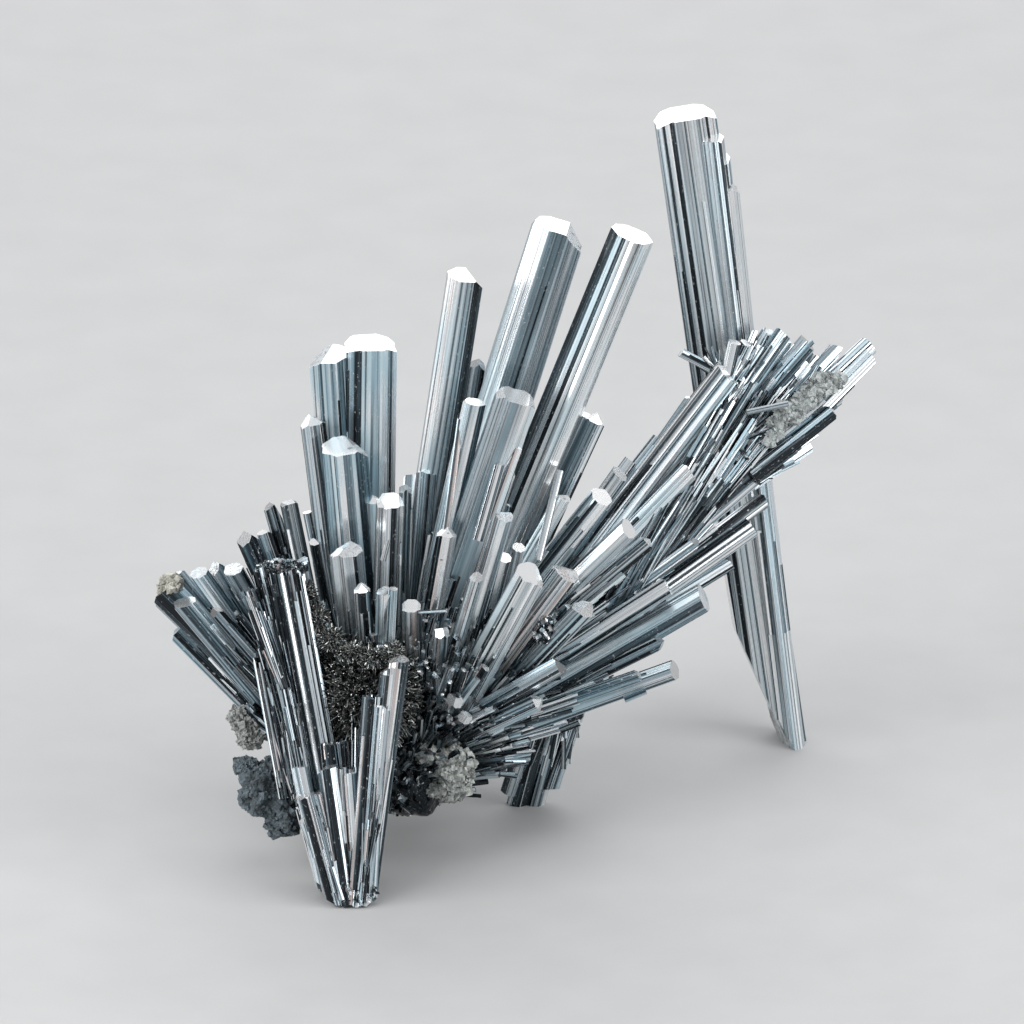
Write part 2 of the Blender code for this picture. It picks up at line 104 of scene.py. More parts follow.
# Every group of crystals: foot and tip as (across, down, toward), width and depth in steps, roll in
# degrees, the faces at the tip and, where it shows, those at the foot.
LONG_CRYSTAL = table(
    ((783, 775, -412), (685, 110, -228), 63, 46, 6, "dome", "leg"),
    ((790, 765, -400), (711, 134, -224), 24, 34, 20, "flat", "leg"),
    ((779, 640, -372), (722, 158, -232), 18, 26, -15, "slant"),
    ((771, 560, -352), (729, 179, -236), 20, 22, 12, "point"),
    ((797, 765, -392), (760, 470, -312), 26, 26, 24, "flat", "shin"),
)
TALL_GROUP = table(
    ((366, 690, -150), (371, 342, -40), 52, 46, 6, "dome"),
    ((350, 690, -150), (330, 352, -44), 40, 40, -8, "slant"),
    ((346, 680, -130), (313, 418, -36), 25, 20, 12, "roof"),
    ((366, 690, -116), (345, 444, -14), 46, 34, 4, "wedge"),
    ((384, 690, -110), (391, 500, 8), 28, 26, 10, "dome"),
    ((400, 680, -120), (406, 485, -62), 13, 12, 0, "point"),
    ((362, 690, -80), (347, 549, 8), 33, 24, 14, "broken"),
    ((370, 690, -60), (363, 586, 16), 17, 13, 0, "roof"),
    ((381, 690, -58), (385, 590, 20), 15, 14, 30, "broken"),
    ((340, 680, -100), (316, 541, -20), 12, 11, 10, "wedge"),
    ((380, 690, -120), (374, 498, -30), 16, 14, 0, "roof"),
)
CENTRE_FAN = table(
    ((403, 680, -140), (466, 275, -10), 37, 28, 10, "wedge"),
    ((412, 690, -145), (560, 227, -24), 56, 44, 6, "arch"),
    ((441, 700, -130), (632, 235, 4), 44, 38, -14),
    ((418, 690, -110), (517, 396, 14), 42, 32, 10, "dome"),
    ((466, 700, -132), (597, 416, -60), 22, 22, 0, "roof"),
    ((452, 690, -110), (563, 496, -40), 17, 16, 15, "broken"),
    ((428, 690, -140), (479, 360, -56), 15, 14, 0, "point"),
    ((410, 690, -100), (475, 402, 0), 22, 16, 15),
    ((450, 700, -90), (504, 515, 24), 20, 18, 0, "broken"),
    ((440, 700, -80), (477, 576, 30), 13, 12, 20, "slant"),
    ((457, 710, -80), (532, 572, 34), 32, 26, 8, "wedge"),
    ((470, 700, -100), (566, 571, -6), 28, 22, 0, "broken"),
    ((446, 720, -70), (456, 697, -10), 17, 15, 0, "point"),
    ((446, 722, -90), (467, 716, -20), 15, 13, 40, "point"),
    ((412, 690, -90), (412, 605, 0), 19, 17, 0, "dome"),
    ((410, 690, -120), (428, 470, -64), 22, 20, 20, "broken"),
    ((420, 690, -96), (448, 530, -10), 20, 16, 0, "roof"),
    ((436, 700, -90), (443, 628, 6), 15, 14, 15, "point"),
    ((430, 700, -110), (505, 470, -20), 22, 20, 15, "broken"),
)
RIGHT_BUNDLE = table(
    ((497, 672, -130), (730, 369, -214), 28, 28, 12, "facing"),
    ((484, 660, -140), (659, 438, -196), 13, 14),
    ((480, 664, -138), (631, 460, -172), 13, 13),
    ((520, 640, -150), (691, 396, -208), 8, 9, 0, "point"),
    ((488, 660, -120), (621, 472, -128), 18, 17, 10, "facing"),
    ((462, 672, -110), (603, 494, -72), 23, 21, -10, "facing"),
    ((470, 680, -100), (630, 527, -66), 21, 19, 20, "facing"),
    ((492, 704, -104), (585, 607, -16), 22, 20, 12, "slant"),
    ((490, 672, -140), (744, 390, -232), 17, 20),
    ((500, 680, -140), (714, 437, -204), 14, 17, 10, "slant"),
    ((500, 690, -150), (764, 463, -246), 28, 22, 14),
    ((520, 672, -156), (740, 409, -256), 22, 24, 0, "broken"),
    ((480, 700, -120), (699, 541, -190), 15, 15, 20, "point"),
    ((500, 705, -150), (753, 527, -250), 22, 20),
    ((500, 700, -160), (766, 499, -262), 17, 17, 30, "broken"),
    ((510, 700, -170), (733, 563, -240), 14, 15, 0, "slant"),
    ((486, 680, -136), (690, 470, -186), 22, 18, 20, "broken"),
    ((480, 680, -110), (650, 540, -110), 18, 18, 0, "roof"),
    ((486, 700, -108), (572, 608, -36), 16, 16, 10, "broken"),
    ((490, 700, -130), (668, 586, -150), 20, 18, 0, "broken"),
)
LOWER_RIGHT_FAN = table(
    ((452, 744, -116), (707, 596, -184), 29, 24, 12, "facing"),
    ((450, 750, -120), (677, 669, -130), 20, 18, 6, "facing"),
    ((452, 740, -100), (640, 675, -108), 13, 13, 20, "slant"),
    ((456, 744, -130), (664, 641, -158), 14, 13, 0, "point"),
    ((446, 730, -90), (560, 664, -40), 20, 16, 10, "broken"),
    ((446, 745, -90), (540, 700, -44), 18, 15, 0, "roof"),
    ((450, 752, -134), (604, 664, -204), 24, 24, 30, "broken"),
    ((440, 758, -110), (566, 722, -150), 18, 20, 0, "broken"),
    ((436, 772, -110), (528, 754, -156), 20, 20, 20, "broken"),
)
LEFT_FAN = table(
    ((322, 745, -122), (163, 590, -128), 32, 26, 10, "broken"),
    ((318, 762, -116), (183, 600, -106), 22, 22, 30, "facing"),
    ((312, 730, -112), (198, 571, -96), 18, 17, 10, "facing"),
    ((312, 740, -140), (176, 572, -150), 15, 15, 0, "roof"),
    ((306, 710, -120), (214, 563, -112), 20, 13, 40, "point"),
    ((308, 700, -112), (232, 567, -84), 20, 18, 14, "facing"),
    ((318, 700, -124), (245, 532, -96), 22, 18, 30, "point"),
    ((322, 700, -120), (264, 531, -100), 15, 14, 0, "wedge"),
    ((326, 700, -130), (271, 506, -112), 15, 13, 20, "splinter"),
    ((330, 700, -130), (289, 502, -92), 17, 17, 14, "dome"),
    ((306, 766, -130), (174, 632, -138), 15, 14, 0, "slant"),
    ((312, 722, -96), (214, 608, -66), 13, 13, 0, "point"),
    ((326, 700, -110), (300, 560, -60), 18, 18, 0, "broken"),
    ((320, 740, -140), (210, 640, -180), 26, 24, 20, "wedge"),
)
BACK_FAN = table(
    ((396, 700, -170), (374, 556, -276), 32, 26, 10, "dome"),
    ((408, 700, -170), (444, 500, -290), 36, 28, 20, "wedge"),
    ((424, 705, -170), (510, 556, -306), 30, 24, 0, "dome"),
    ((384, 710, -170), (322, 596, -262), 28, 22, 14, "wedge"),
    ((420, 720, -180), (470, 610, -340), 26, 22, 0, "roof"),
    ((440, 710, -170), (566, 612, -286), 26, 22, 10),
    ((400, 720, -180), (400, 636, -330), 28, 22, 30, "broken"),
    ((404, 700, -160), (418, 476, -236), 30, 24),
    ((380, 720, -160), (294, 640, -236), 24, 20, 0, "point"),
    ((424, 730, -180), (514, 676, -316), 24, 20, 20, "slant"),
    ((388, 730, -180), (346, 660, -304), 22, 20, 0, "roof"),
    ((436, 720, -190), (484, 580, -300), 20, 18, 0, "broken"),
    ((402, 740, -150), (298, 812, -362), 36, 30, 10, "square"),
)
FRONT_COLUMN = table(
    ((340, 868, -24), (285, 570, 4), 38, 34, 4, "broken"),
    ((322, 800, -18), (262, 566, 8), 18, 18, 20, "broken"),
    ((330, 800, -36), (301, 566, -14), 17, 18),
    ((318, 780, -10), (249, 590, 20), 13, 13, 30, "slant"),
    ((290, 800, -12), (264, 654, 0), 19, 18, 10, "wedge"),
    ((312, 800, -4), (289, 686, 12), 14, 14, 0, "roof"),
    ((330, 840, -50), (312, 650, -46), 26, 30, 14),
    ((330, 810, -60), (290, 700, -70), 26, 34, 0, "broken"),
)
FRONT_FOOT = table(
    ((366, 902, -12), (400, 656, 20), 20, 22, 10, "slant", "toe"),
    ((356, 935, -8), (376, 694, 22), 26, 24, -12, "wedge"),
    ((364, 900, 0), (388, 672, 26), 14, 14, 0, "flat", "toe"),
    ((338, 902, -4), (309, 792, 14), 20, 18, 14, "dome", "toe"),
    ((350, 940, -20), (332, 740, -6), 34, 28),
    ((342, 925, -34), (310, 802, -30), 28, 26, 20, "broken"),
    ((360, 930, -16), (350, 764, 6), 28, 24, 0, "roof"),
)
OUTER_CLUSTER = table(
    ((714, 450, -222), (811, 340, -268), 20, 18, 8, "facing"),
    ((752, 456, -236), (873, 343, -298), 20, 17, 14),
    ((758, 468, -240), (872, 353, -294), 23, 18, -8, "dome"),
    ((768, 424, -240), (841, 347, -292), 14, 14, 10, "splinter"),
    ((752, 476, -232), (836, 409, -262), 18, 16, 0, "roof"),
    ((752, 484, -244), (812, 444, -276), 15, 15, 10, "slant"),
    ((744, 484, -236), (794, 459, -262), 12, 13, 0, "broken"),
    ((716, 430, -214), (785, 332, -250), 18, 17, 0, "broken"),
    ((718, 416, -222), (773, 329, -274), 16, 18, 30, "point"),
    ((716, 412, -214), (749, 341, -232), 15, 15, 0, "facing"),
    ((730, 440, -240), (800, 372, -300), 34, 30, 0, "broken"),
    ((766, 440, -256), (808, 352, -336), 24, 22, 14, "wedge"),
    ((764, 446, -256), (846, 390, -336), 22, 20, 0, "point"),
    ((742, 383, -222), (681, 351, -232), 9, 9, 20, "facing"),
    ((736, 452, -236), (812, 362, -290), 26, 22, 0, "roof"),
)
FOOT_STUBS = table(
    ((548, 690, -200), (514, 822, -258), 22, 26, 10, "broken"),
    ((566, 690, -204), (532, 818, -256), 20, 24, 0, "slant"),
    ((580, 700, -210), (550, 790, -240), 17, 20, 20, "splinter"),
    ((530, 724, -196), (508, 794, -236), 16, 20, 0, "broken"),
)

# The base from which a group's crystals grow.
KNOTS = {
    "tall_group": Lump((368, 690, -104), (32, 26, 50), 0.2, 21),
    "centre_fan": Lump((436, 704, -106), (38, 32, 46), 0.2, 22),
    "right_bundle": Lump((486, 686, -128), (34, 28, 44), 0.2, 23),
    "lower_right_fan": Lump((452, 748, -116), (28, 26, 34), 0.2, 24),
    "left_fan": Lump((320, 730, -120), (24, 42, 30), 0.2, 25),
    "back_fan": Lump((406, 714, -184), (46, 34, 34), 0.2, 26),
    "outer_cluster": Lump((740, 444, -240), (20, 30, 24), 0.2, 27),
    "foot_stubs": Lump((556, 712, -206), (26, 20, 22), 0.2, 28),
}
ROOT_LUMP = Lump((398, 752, -128), (74, 58, 76), 0.22, 3)
NEEDLE_CRUST = Lump((364, 692, -38), (44, 46, 34), 0.24, 8)
MATRIX_LUMPS = {
    "matrix_left_upper": (
        Lump((246, 718, -140), (19, 17, 22), 0.40, 11),
        Lump((251, 737, -134), (15, 12, 18), 0.40, 31),
    ),
    "matrix_left_lower": (
        Lump((268, 788, -60), (29, 31, 36), 0.40, 12),
        Lump((284, 819, -66), (21, 20, 30), 0.40, 32),
        Lump((248, 765, -66), (13, 9, 14), 0.40, 33),
    ),
    "matrix_front": (
        Lump((454, 764, -64), (23, 26, 22), 0.40, 13),
        Lump((428, 752, -60), (18, 11, 18), 0.40, 34),
        Lump((450, 786, -76), (22, 14, 20), 0.40, 35),
    ),
    "matrix_outer": (
        Lump((772, 440, -222), (11, 22, 12), 0.30, 14),
        Lump((786, 418, -228), (14, 19, 12), 0.30, 36),
        Lump((803, 401, -240), (17, 15, 12), 0.30, 37),
        Lump((824, 387, -248), (18, 12, 13), 0.30, 38),
        Lump((845, 371, -258), (18, 11, 13), 0.30, 39),
    ),
}

MM = 0.001
SEED = 11
EDGE_ROOM = 0.0002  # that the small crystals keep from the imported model's box

# A main crystal's flutes: strips of its sides, as shares of its width. Crystals from a width in
# steps have shares of their own.
CRYSTAL_SIDES = 8
STRIP_LEAST = 0.20 * MM
STRIP_SHARES = (0.05, 0.08, 0.14)
BROAD_FROM = 32
BROAD_SHARES = (0.07, 0.14, 0.24)
RIBBED_FROM = 60
RIBBED_SHARES = (0.02, 0.03, 0.05)
FLUTE_DEPTH = 0.30  # of a strip
NOTCH_WIDTH = 0.10 * MM
NOTCH_CHANCE = 0.12

# A main crystal's tip: its chipped rim from a width in steps, and how strong a painted highlight each end may
# take.
CHIPPED_FROM = 20
CHIP_COUNT = 5
CHIP_TILT = (42, 64)  # degrees
CHIP_REACH = (0.78, 0.95)  # of the half width
TIP_FACE = 0.35  # how far a face has to look along the axis to count as a tip
TIP_PAINTED_HIGHLIGHT = {"broken": 0.4, "point": 0.6, "splinter": 0.4, "slant": 0.5}

# Thin crystals: their tips and the painted highlight on them, those along a main one's sides, and bundles
# that replace one.
LATH_SLANT = 0.7
LATH_PAINTED_HIGHLIGHT = 0.6
TUFT_PAINTED_HIGHLIGHT = 0.1
LATHS_A_STEP = 0.12
CUT_HEEL = 0.45  # of the length, below which a crystal with a cut heel has no thin ones
FIBROUS = ("front_column", "front_foot")
FIBRES_A_SQUARE_STEP = 0.11
FIBRE_WIDTH = (2.5, 6)  # steps
FIBRE_FLOOR = 4  # steps above the floor at which a fibre ends
FINE_WIDTHS = (1.2, 3.2)  # steps
THICKET_FILLING = (420, (0.45, 1.0), (2, 6), 10)  # as in GROUPS

# Rough lumps: subdivisions of the mesh, and how far crumbs stand out, in steps.
KNOT_MESH = (4, 2.0)
ROOT_MESH = (5, 3.0)
DRUSE_MESH = (5, 2.0)

# Tufts and needles: how many, their lengths, their widths in steps and, for tufts, how they stray.
ROOT_TUFTS = (2600, (14, 64), (2, 8), 0.18)
KNOT_TUFTS = (320, (16, 70), (2, 7), 0.14)
ODD_TUFTS = {"foot_stubs": (50, (16, 60), (2, 7), 0.14), "outer_cluster": (320, (16, 44), (2, 7), 0.14)}
NEEDLES = (8500, (10, 26), (0.9, 1.8))
RIM_NEEDLES = (550, (3, 9), (0.7, 1.3))

# Rock: its flat faces, and the grains on it, how many and their sizes in steps.
ROCK_GRIT = 0.13  # of a boulder's radius
ROCK_FACETS = 16
FACET_REACH = (0.62, 0.96)  # of the radius
CRUMBED_RADIUS = 15  # steps, from which a boulder has all its grains
ROCK_CRUMBS = ((50, (2, 5)), (260, (0.8, 2.4)))
RUBBLE_CRUMBS = (240, (0.8, 2.8))
ROOT_CRUMBS = (500, (2, 6))
ROCK_CHAINS = {"matrix_outer": (4, 4, (0.35, 0.7))}  # lumps for each lump, how they stray, their share

# Groups that grow from the root.
ROOT_GROUPS = ("tall_group", "centre_fan", "right_bundle", "lower_right_fan", "left_fan", "back_fan")

# Shades that a crystal's side and its narrow strips take, from 0, dark, to 1, bright, at random: partly the
# metal's own tone and partly painted reflection, the light and dark that each facet would mirror.
SIDE_SHADES = (0.15, 0.42, 0.56, 0.66, 0.74, 0.80, 0.86, 0.94)
STRIP_SHADES = (0.0, 0.12, 0.3, 0.6, 0.85, 1.0)
STRIP_CHANCE = 0.28

# Shades of the metal from its darkest bands to its brightest.
STEEL_SHADES = (
    (0.08, (0.012, 0.016, 0.02)),
    (0.25, (0.08, 0.105, 0.12)),
    (0.45, (0.26, 0.35, 0.40)),
    (0.68, (0.60, 0.67, 0.71)),
    (0.90, (0.93, 0.94, 0.95)),
)
NEEDLE_SHADES = (
    (0.05, (0.01, 0.01, 0.012)),
    (0.35, (0.10, 0.105, 0.10)),
    (0.65, (0.36, 0.36, 0.33)),
    (0.95, (0.78, 0.78, 0.74)),
)

# Noise along a crystal: how drawn out it is, its scale and its detail.
BANDS = (0.01, 650, 1)
STRIAE = (0.004, 1800, 1)
CLOUDS = (0.25, 120, 5)
RUST = (0.02, 330, 2)
SPECKS = (0.6, 1700, 3)
CHIPS = (1.0, 450, 2)

# Each rock's pale grains, dark ground and stain.
STONE_SHADES = {
    "matrix_left_upper": ((0.44, 0.46, 0.45), (0.05, 0.06, 0.066), (0.32, 0.32, 0.29)),
    "matrix_left_lower": ((0.13, 0.17, 0.195), (0.010, 0.013, 0.017), (0.11, 0.13, 0.135)),
    "matrix_front": ((0.50, 0.53, 0.51), (0.06, 0.07, 0.075), (0.38, 0.38, 0.34)),
    "matrix_outer": ((0.52, 0.56, 0.56), (0.10, 0.115, 0.12), (0.40, 0.42, 0.40)),
    "left_fan_cap": ((0.66, 0.65, 0.58), (0.20, 0.20, 0.18), (0.50, 0.48, 0.40)),
}

# Small crystals that are only a look: each stands on or between its group's main ones.
DETAILS = {
    "front_foot": table(
        ((354, 902, -4), (332, 742, 6), 15, 11, 0, "broken", "toe"),
        ((346, 897, -4), (320, 790, 8), 12, 10, 20, "slant", "toe"),
        ((362, 903, -3), (352, 768, 14), 15, 12, 0, "roof", "toe"),
        ((372, 897, -4), (382, 740, 20), 12, 10, 0, "slant", "toe"),
        ((334, 890, -6), (304, 816, 6), 11, 9, 0, "point", "toe"),
        ((359, 904, -4), (379, 700, 25), 27, 16, -12, "wedge", "toe"),
        ((366, 903, -6), (396, 664, 24), 22, 14, 4, "slant", "toe"),
        ((348, 904, -3), (328, 764, 12), 20, 14, -8, "slant", "toe"),
        ((326, 884, -6), (301, 764, 6), 18, 14, 10, "broken", "toe"),
    ),
    "centre_fan": table(
        ((462, 700, -134), (586, 415, -64), 15, 14),
        ((419, 612, -2), (447, 610, 8), 4, 4),
        ((492, 606, -44), (505, 556, -2), 14, 9, 0, "facing"),
        ((508, 596, -56), (519, 546, -16), 13, 9, 10, "facing"),
        ((478, 540, -10), (500, 463, 2), 12, 9, 0, "slant"),
        ((492, 520, -10), (518, 448, 0), 9, 8),
        ((442, 560, -20), (461, 419, -6), 7, 6),
        ((538, 560, -30), (560, 470, -40), 8, 7),
    ),
    "tall_group": table(
        ((384, 560, -10), (397, 509, 4), 6, 6),
        ((390, 660, -10), (394, 588, 22), 9, 8),
        ((334, 640, -60), (308, 512, -34), 9, 8),
    ),
    "lower_right_fan": table(
        ((624, 699, -112), (646, 690, -114), 8, 7),
        ((560, 730, -100), (580, 722, -96), 7, 6),
    ),
    "outer_cluster": table(
        ((720, 420, -220), (757, 330, -256), 8, 5, 20, "splinter"),
        ((722, 426, -220), (768, 338, -250), 8, 5, 0, "splinter"),
        ((724, 430, -224), (792, 340, -262), 8, 6, 40, "point"),
        ((720, 412, -214), (736, 340, -224), 13, 11, 0, "facing"),
        ((748, 412, -212), (790, 403, -212), 6, 5),
        ((790, 420, -240), (822, 366, -268), 7, 6),
        ((776, 440, -236), (826, 398, -252), 7, 6, 0, "slant"),
    ),
}

# Where crumbs lie, the rock at the left fan's end, the needle druse's rim, and the lines that a
# thicket of thin crystals follows.
RUBBLE = {
    "centre_fan": Lump((543, 612, -36), (13, 30, 9)),
    "front_foot": Lump((353, 889, -2), (25, 14, 9)),
    "front_column": Lump((284, 567, 4), (24, 7, 12)),
}
ROCK_CAP = {"left_fan_cap": (Lump((171, 589, -124), (15, 14, 10), 0.30, 52),)}
NEEDLE_RIM = (
    Lump((308, 596, -6), (6, 11, 7)),
    Lump((319, 618, -4), (7, 11, 7)),
    Lump((332, 638, 0), (9, 8, 8)),
    Lump((352, 651, 4), (11, 6, 8)),
    Lump((374, 657, 6), (11, 6, 8)),
    Lump((394, 652, 4), (8, 7, 8)),
)
THICKETS = {
    "outer_cluster": table(
        ((600, 620, -156), (738, 384, -216)),
        ((630, 610, -168), (762, 384, -228)),
        ((640, 600, -180), (776, 436, -234)),
        ((610, 590, -160), (722, 404, -210)),
        ((650, 580, -190), (790, 372, -238)),
    ),
}

# The set, in metres where nothing else is said.
IMAGE_SIDE = 1024  # steps across the picture
CAMERA_DISTANCE = 6.0
SENSOR = 36.0
MIDDLE_TOWARD = -130  # steps, the depth that the camera is centred on
FLOOR_SIZE = 16.0
WORLD_COLOUR = (0.85, 0.87, 0.90, 1)
WORLD_STRENGTH = 0.55
LIT_POINT = Vector((0, 0, 0.08))

# Softboxes: azimuth from the viewer's side round to the viewer's right, elevation, distance, size
# and power.
SOFTBOXES = {
    "softbox_behind": (180, 36, 1.3, (1.9, 1.1), 11.0),
    "softbox_left": (-58, 30, 1.2, (0.8, 1.2), 12.0),
    "softbox_right": (66, 28, 1.2, (0.75, 1.2), 9.0),
    "softbox_above": (0, 72, 1.5, (1.0, 0.7), 5.0),
}

# Every group by the name of its node. Its look says how much lighter its metal is painted, partly its own
# tone and partly painted light and shade for how much light the group catches, how blue its patches are,
# how brown its streaks are and how strong a painted highlight its tips take. Its filling is how many
# crystals stand between its main ones, their length as a share of the main ones', their width in
# steps, and how many steps in front of the main ones the shortest stand.
Group = namedtuple("Group", "crystals look filling")
GROUPS = {
    "long_crystal": Group(LONG_CRYSTAL, (0.07, 0.5, 0.1, 1.0), (0, (0.3, 0.6), (3, 8), 0)),
    "tall_group": Group(TALL_GROUP, (0.04, 1.0, 0.2, 1.0), (170, (0.28, 0.62), (3, 9), 30)),
    "centre_fan": Group(CENTRE_FAN, (0.03, 0.7, 0.8, 1.0), (420, (0.22, 0.58), (3, 11), 45)),
    "right_bundle": Group(RIGHT_BUNDLE, (-0.03, 0.9, 0.3, 1.0), (380, (0.25, 0.85), (3, 10), 30)),
    "front_foot": Group(FRONT_FOOT, (-0.08, 0.6, 0.8, 0.5), (300, (0.35, 0.98), (1.5, 5), 14)),
    "lower_right_fan": Group(LOWER_RIGHT_FAN, (-0.10, 1.0, 0.2, 0.6), (190, (0.25, 0.8), (3, 9), 25)),
    "left_fan": Group(LEFT_FAN, (-0.22, 1.0, 0.3, 0.35), (260, (0.4, 0.9), (3, 9), 20)),
    "back_fan": Group(BACK_FAN, (-0.05, 0.7, 0.4, 0.5), (260, (0.3, 0.85), (3, 10), -30)),
    "front_column": Group(FRONT_COLUMN, (-0.18, 0.5, 0.8, 0.2), (420, (0.5, 0.99), (1.5, 4), 8)),
    "outer_cluster": Group(OUTER_CLUSTER, (-0.07, 0.6, 0.3, 0.5), (320, (0.4, 0.98), (2, 6), 10)),
    "foot_stubs": Group(FOOT_STUBS, (-0.06, 0.6, 0.4, 0.3), (24, (0.5, 0.95), (3, 7), 0)),
}


def place(across, down, toward):
    """A layout point in metres."""
    lean = math.radians(SHEET_LEAN)
    up = FLOOR_DOWN - down
    back = up * math.sin(lean) - toward * math.cos(lean) - MIDDLE_BACK
    height = up * math.cos(lean) + toward * math.sin(lean)
    return STEP * Vector((across - MIDDLE_ACROSS, back, height))


TOWARD = place(0, 0, 1) - place(0, 0, 0)  # a step towards the viewer


def course(spec):
    """The way from a crystal's foot to its tip, in metres."""
    return place(*spec.tip) - place(*spec.foot)


def stand(foot, axis, right, turn):
    """The matrix that stands an upright crystal at foot, its right hand turned round its axis."""
    right = Matrix.Rotation(turn, 3, axis) @ right
    return Matrix.Translation(foot) @ Matrix((right, axis.cross(right), axis)).transposed().to_4x4()


def placement(spec):
    """The matrix that stands a crystal at its foot, its right hand turned by its roll."""
    axis = course(spec).normalized()
    right = axis.cross(-TOWARD).normalized()
    return stand(place(*spec.foot), axis, right, math.radians(spec.roll))


def add_object(name, data):
    """An object in the scene for a mesh, a lamp or a camera."""
    made = bpy.data.objects.new(name, data)
    bpy.context.scene.collection.objects.link(made)
    return made


class Gathered:
    """Points and faces of many crystals, which become one mesh.

    grain is each point's place in its own crystal, which the striations follow. tone is a shade
    that differs from crystal to crystal, groove says how deep a point lies in a flute, and on rock in a
    pit, and sets the painted shade there, band is the shade that a face takes, partly its own tone and
    partly painted reflection, and end says how much painted highlight a tip face takes.
    """

    def __init__(self):
        self.count = 0
        self.points, self.grain, self.tone, self.groove = [], [], [], []
        self.faces, self.band, self.end = [], [], []

    def add(self, local, faces, bands, ends, matrix, tone, offset, groove=None):
        local = np.asarray(local, dtype=float)
        turn = np.array(matrix)
        self.points.append(local @ turn[:3, :3].T + turn[:3, 3])
        self.grain.append(local + offset)
        self.tone.append(np.full(len(local), tone))
        self.groove.append(np.zeros(len(local)) if groove is None else np.asarray(groove))
        self.faces.extend(tuple(self.count + i for i in face) for face in faces)
        self.band.extend(bands)
        self.end.extend(ends)
        self.count += len(local)

    def add_bmesh(self, bm, matrix, tone, offset, painted_highlight=0.0):
        """A bmesh with float layers named groove, on its points, and band, on its faces."""
        bm.verts.index_update()
        bm.normal_update()
        groove = bm.verts.layers.float["groove"]
        band = bm.faces.layers.float["band"]
        local = [vert.co[:] for vert in bm.verts]
        faces = [[vert.index for vert in face.verts] for face in bm.faces]
        bands = [face[band] for face in bm.faces]
        # Faces that look along the crystal's axis take the painted highlight.
        ends = [painted_highlight if abs(face.normal.z) > TIP_FACE else 0.0 for face in bm.faces]
        self.add(local, faces, bands, ends, matrix, tone, offset, [vert[groove] for vert in bm.verts])

    def piece(self, name, material, replaced=None):
        """The mesh as an object that rides on the spray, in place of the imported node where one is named."""
        mesh = bpy.data.meshes.new(name)
        mesh.from_pydata(np.concatenate(self.points).tolist(), [], self.faces)
        grain = mesh.attributes.new("grain", "FLOAT_VECTOR", "POINT")
        grain.data.foreach_set("vector", np.concatenate(self.grain).ravel())
        for key, values in (("tone", np.concatenate(self.tone)), ("groove", np.concatenate(self.groove))):
            mesh.attributes.new(key, "FLOAT", "POINT").data.foreach_set("value", values)
        for key, values in (("band", self.band), ("end", self.end)):
            mesh.attributes.new(key, "FLOAT", "FACE").data.foreach_set("value", values)
        mesh.materials.append(material)
        made = add_object(name, mesh)
        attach(made, "root")
        if replaced:
            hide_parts(replaced)


def strip_shares(width):
    """The shares of its width that a crystal's strips may take."""
    if width >= RIBBED_FROM * STEP:
        return RIBBED_SHARES
    return BROAD_SHARES if width >= BROAD_FROM * STEP else STRIP_SHARES


def outline(width, depth, rng):
    """Points round a fluted section, how deep each lies in a flute, and the shade after each.

    Each shade is partly the metal's own tone and partly painted reflection.
    """
    reach = 0.5 / math.cos(math.pi / CRYSTAL_SIDES)
    corners = []
    for i in range(CRYSTAL_SIDES):
        angle = (i + 0.5) * 2 * math.pi / CRYSTAL_SIDES
        shrink = rng.uniform(0.95, 1.0)
        corners.append(Vector((width * math.cos(angle), depth * math.sin(angle))) * reach * shrink)
    strip = STRIP_LEAST + rng.choice(strip_shares(width)) * width
    strips = []
    for i, corner in enumerate(corners):
        side = corners[(i + 1) % CRYSTAL_SIDES] - corner
        shade = rng.choice(SIDE_SHADES)
        length = side.length
        inward = Vector((-side.y, side.x)) / length
        relief = FLUTE_DEPTH * strip * rng.choice((0.2, 0.6, 1.0))
        strips.append((corner, 0.0, shade))
        along = strip * rng.uniform(0.3, 1.5)
        while along < length - 0.3 * strip:
            sunk = rng.random() ** 1.5
            odd = rng.random() < STRIP_CHANCE
            band = rng.choice(STRIP_SHADES) if odd else shade + rng.gauss(0, 0.08)
            strips.append((corner + along / length * side + relief * sunk * inward, 0.4 * sunk, band))
            if rng.random() < NOTCH_CHANCE and along + 3 * NOTCH_WIDTH < length:
                for deeper, groove in ((NOTCH_WIDTH, 1.0), (0, 0.2)):
                    along += NOTCH_WIDTH
                    point = corner + along / length * side + (relief * sunk + deeper) * inward
                    strips.append((point, groove, band))
            along += strip * math.exp(rng.gauss(-0.2, 0.7))
    return zip(*strips)


def cut(bm, point, normal):
    """Takes off what lies beyond a plane and closes the cut."""
    geometry = bm.verts[:] + bm.edges[:] + bm.faces[:]
    made = bmesh.ops.bisect_plane(bm, geom=geometry, plane_co=point, plane_no=normal, clear_outer=True)
    rim = [item for item in made["geom_cut"] if isinstance(item, bmesh.types.BMEdge)]
    if rim:
        bmesh.ops.holes_fill(bm, edges=rim, sides=0)


def end_faces(cuts, half_width):
    """(point, normal) of each face that ends a crystal whose tip is at the origin."""
    for tilt, heading, reach in cuts:
        heading = math.radians(heading)
        outwards = Vector((math.cos(heading), math.sin(heading), 0))
        tilt = math.radians(tilt)
        yield reach * half_width * outwards, math.sin(tilt) * outwards + math.cos(tilt) * Vector((0, 0, 1))


def chip(rng):
    """A small cut in a tip's rim, as in ENDS."""
    return rng.uniform(*CHIP_TILT), rng.uniform(0, 360), rng.uniform(*CHIP_REACH)


def lift_floor(bm, matrix):
    """Cuts a crystal flat where it meets the floor."""
    if min((matrix @ vert.co).z for vert in bm.verts) < 0:
        back = matrix.inverted()
        normal = back.to_3x3() @ Vector((0, 0, -1))
        cut(bm, back @ Vector((matrix.translation.x, matrix.translation.y, 0)), normal)


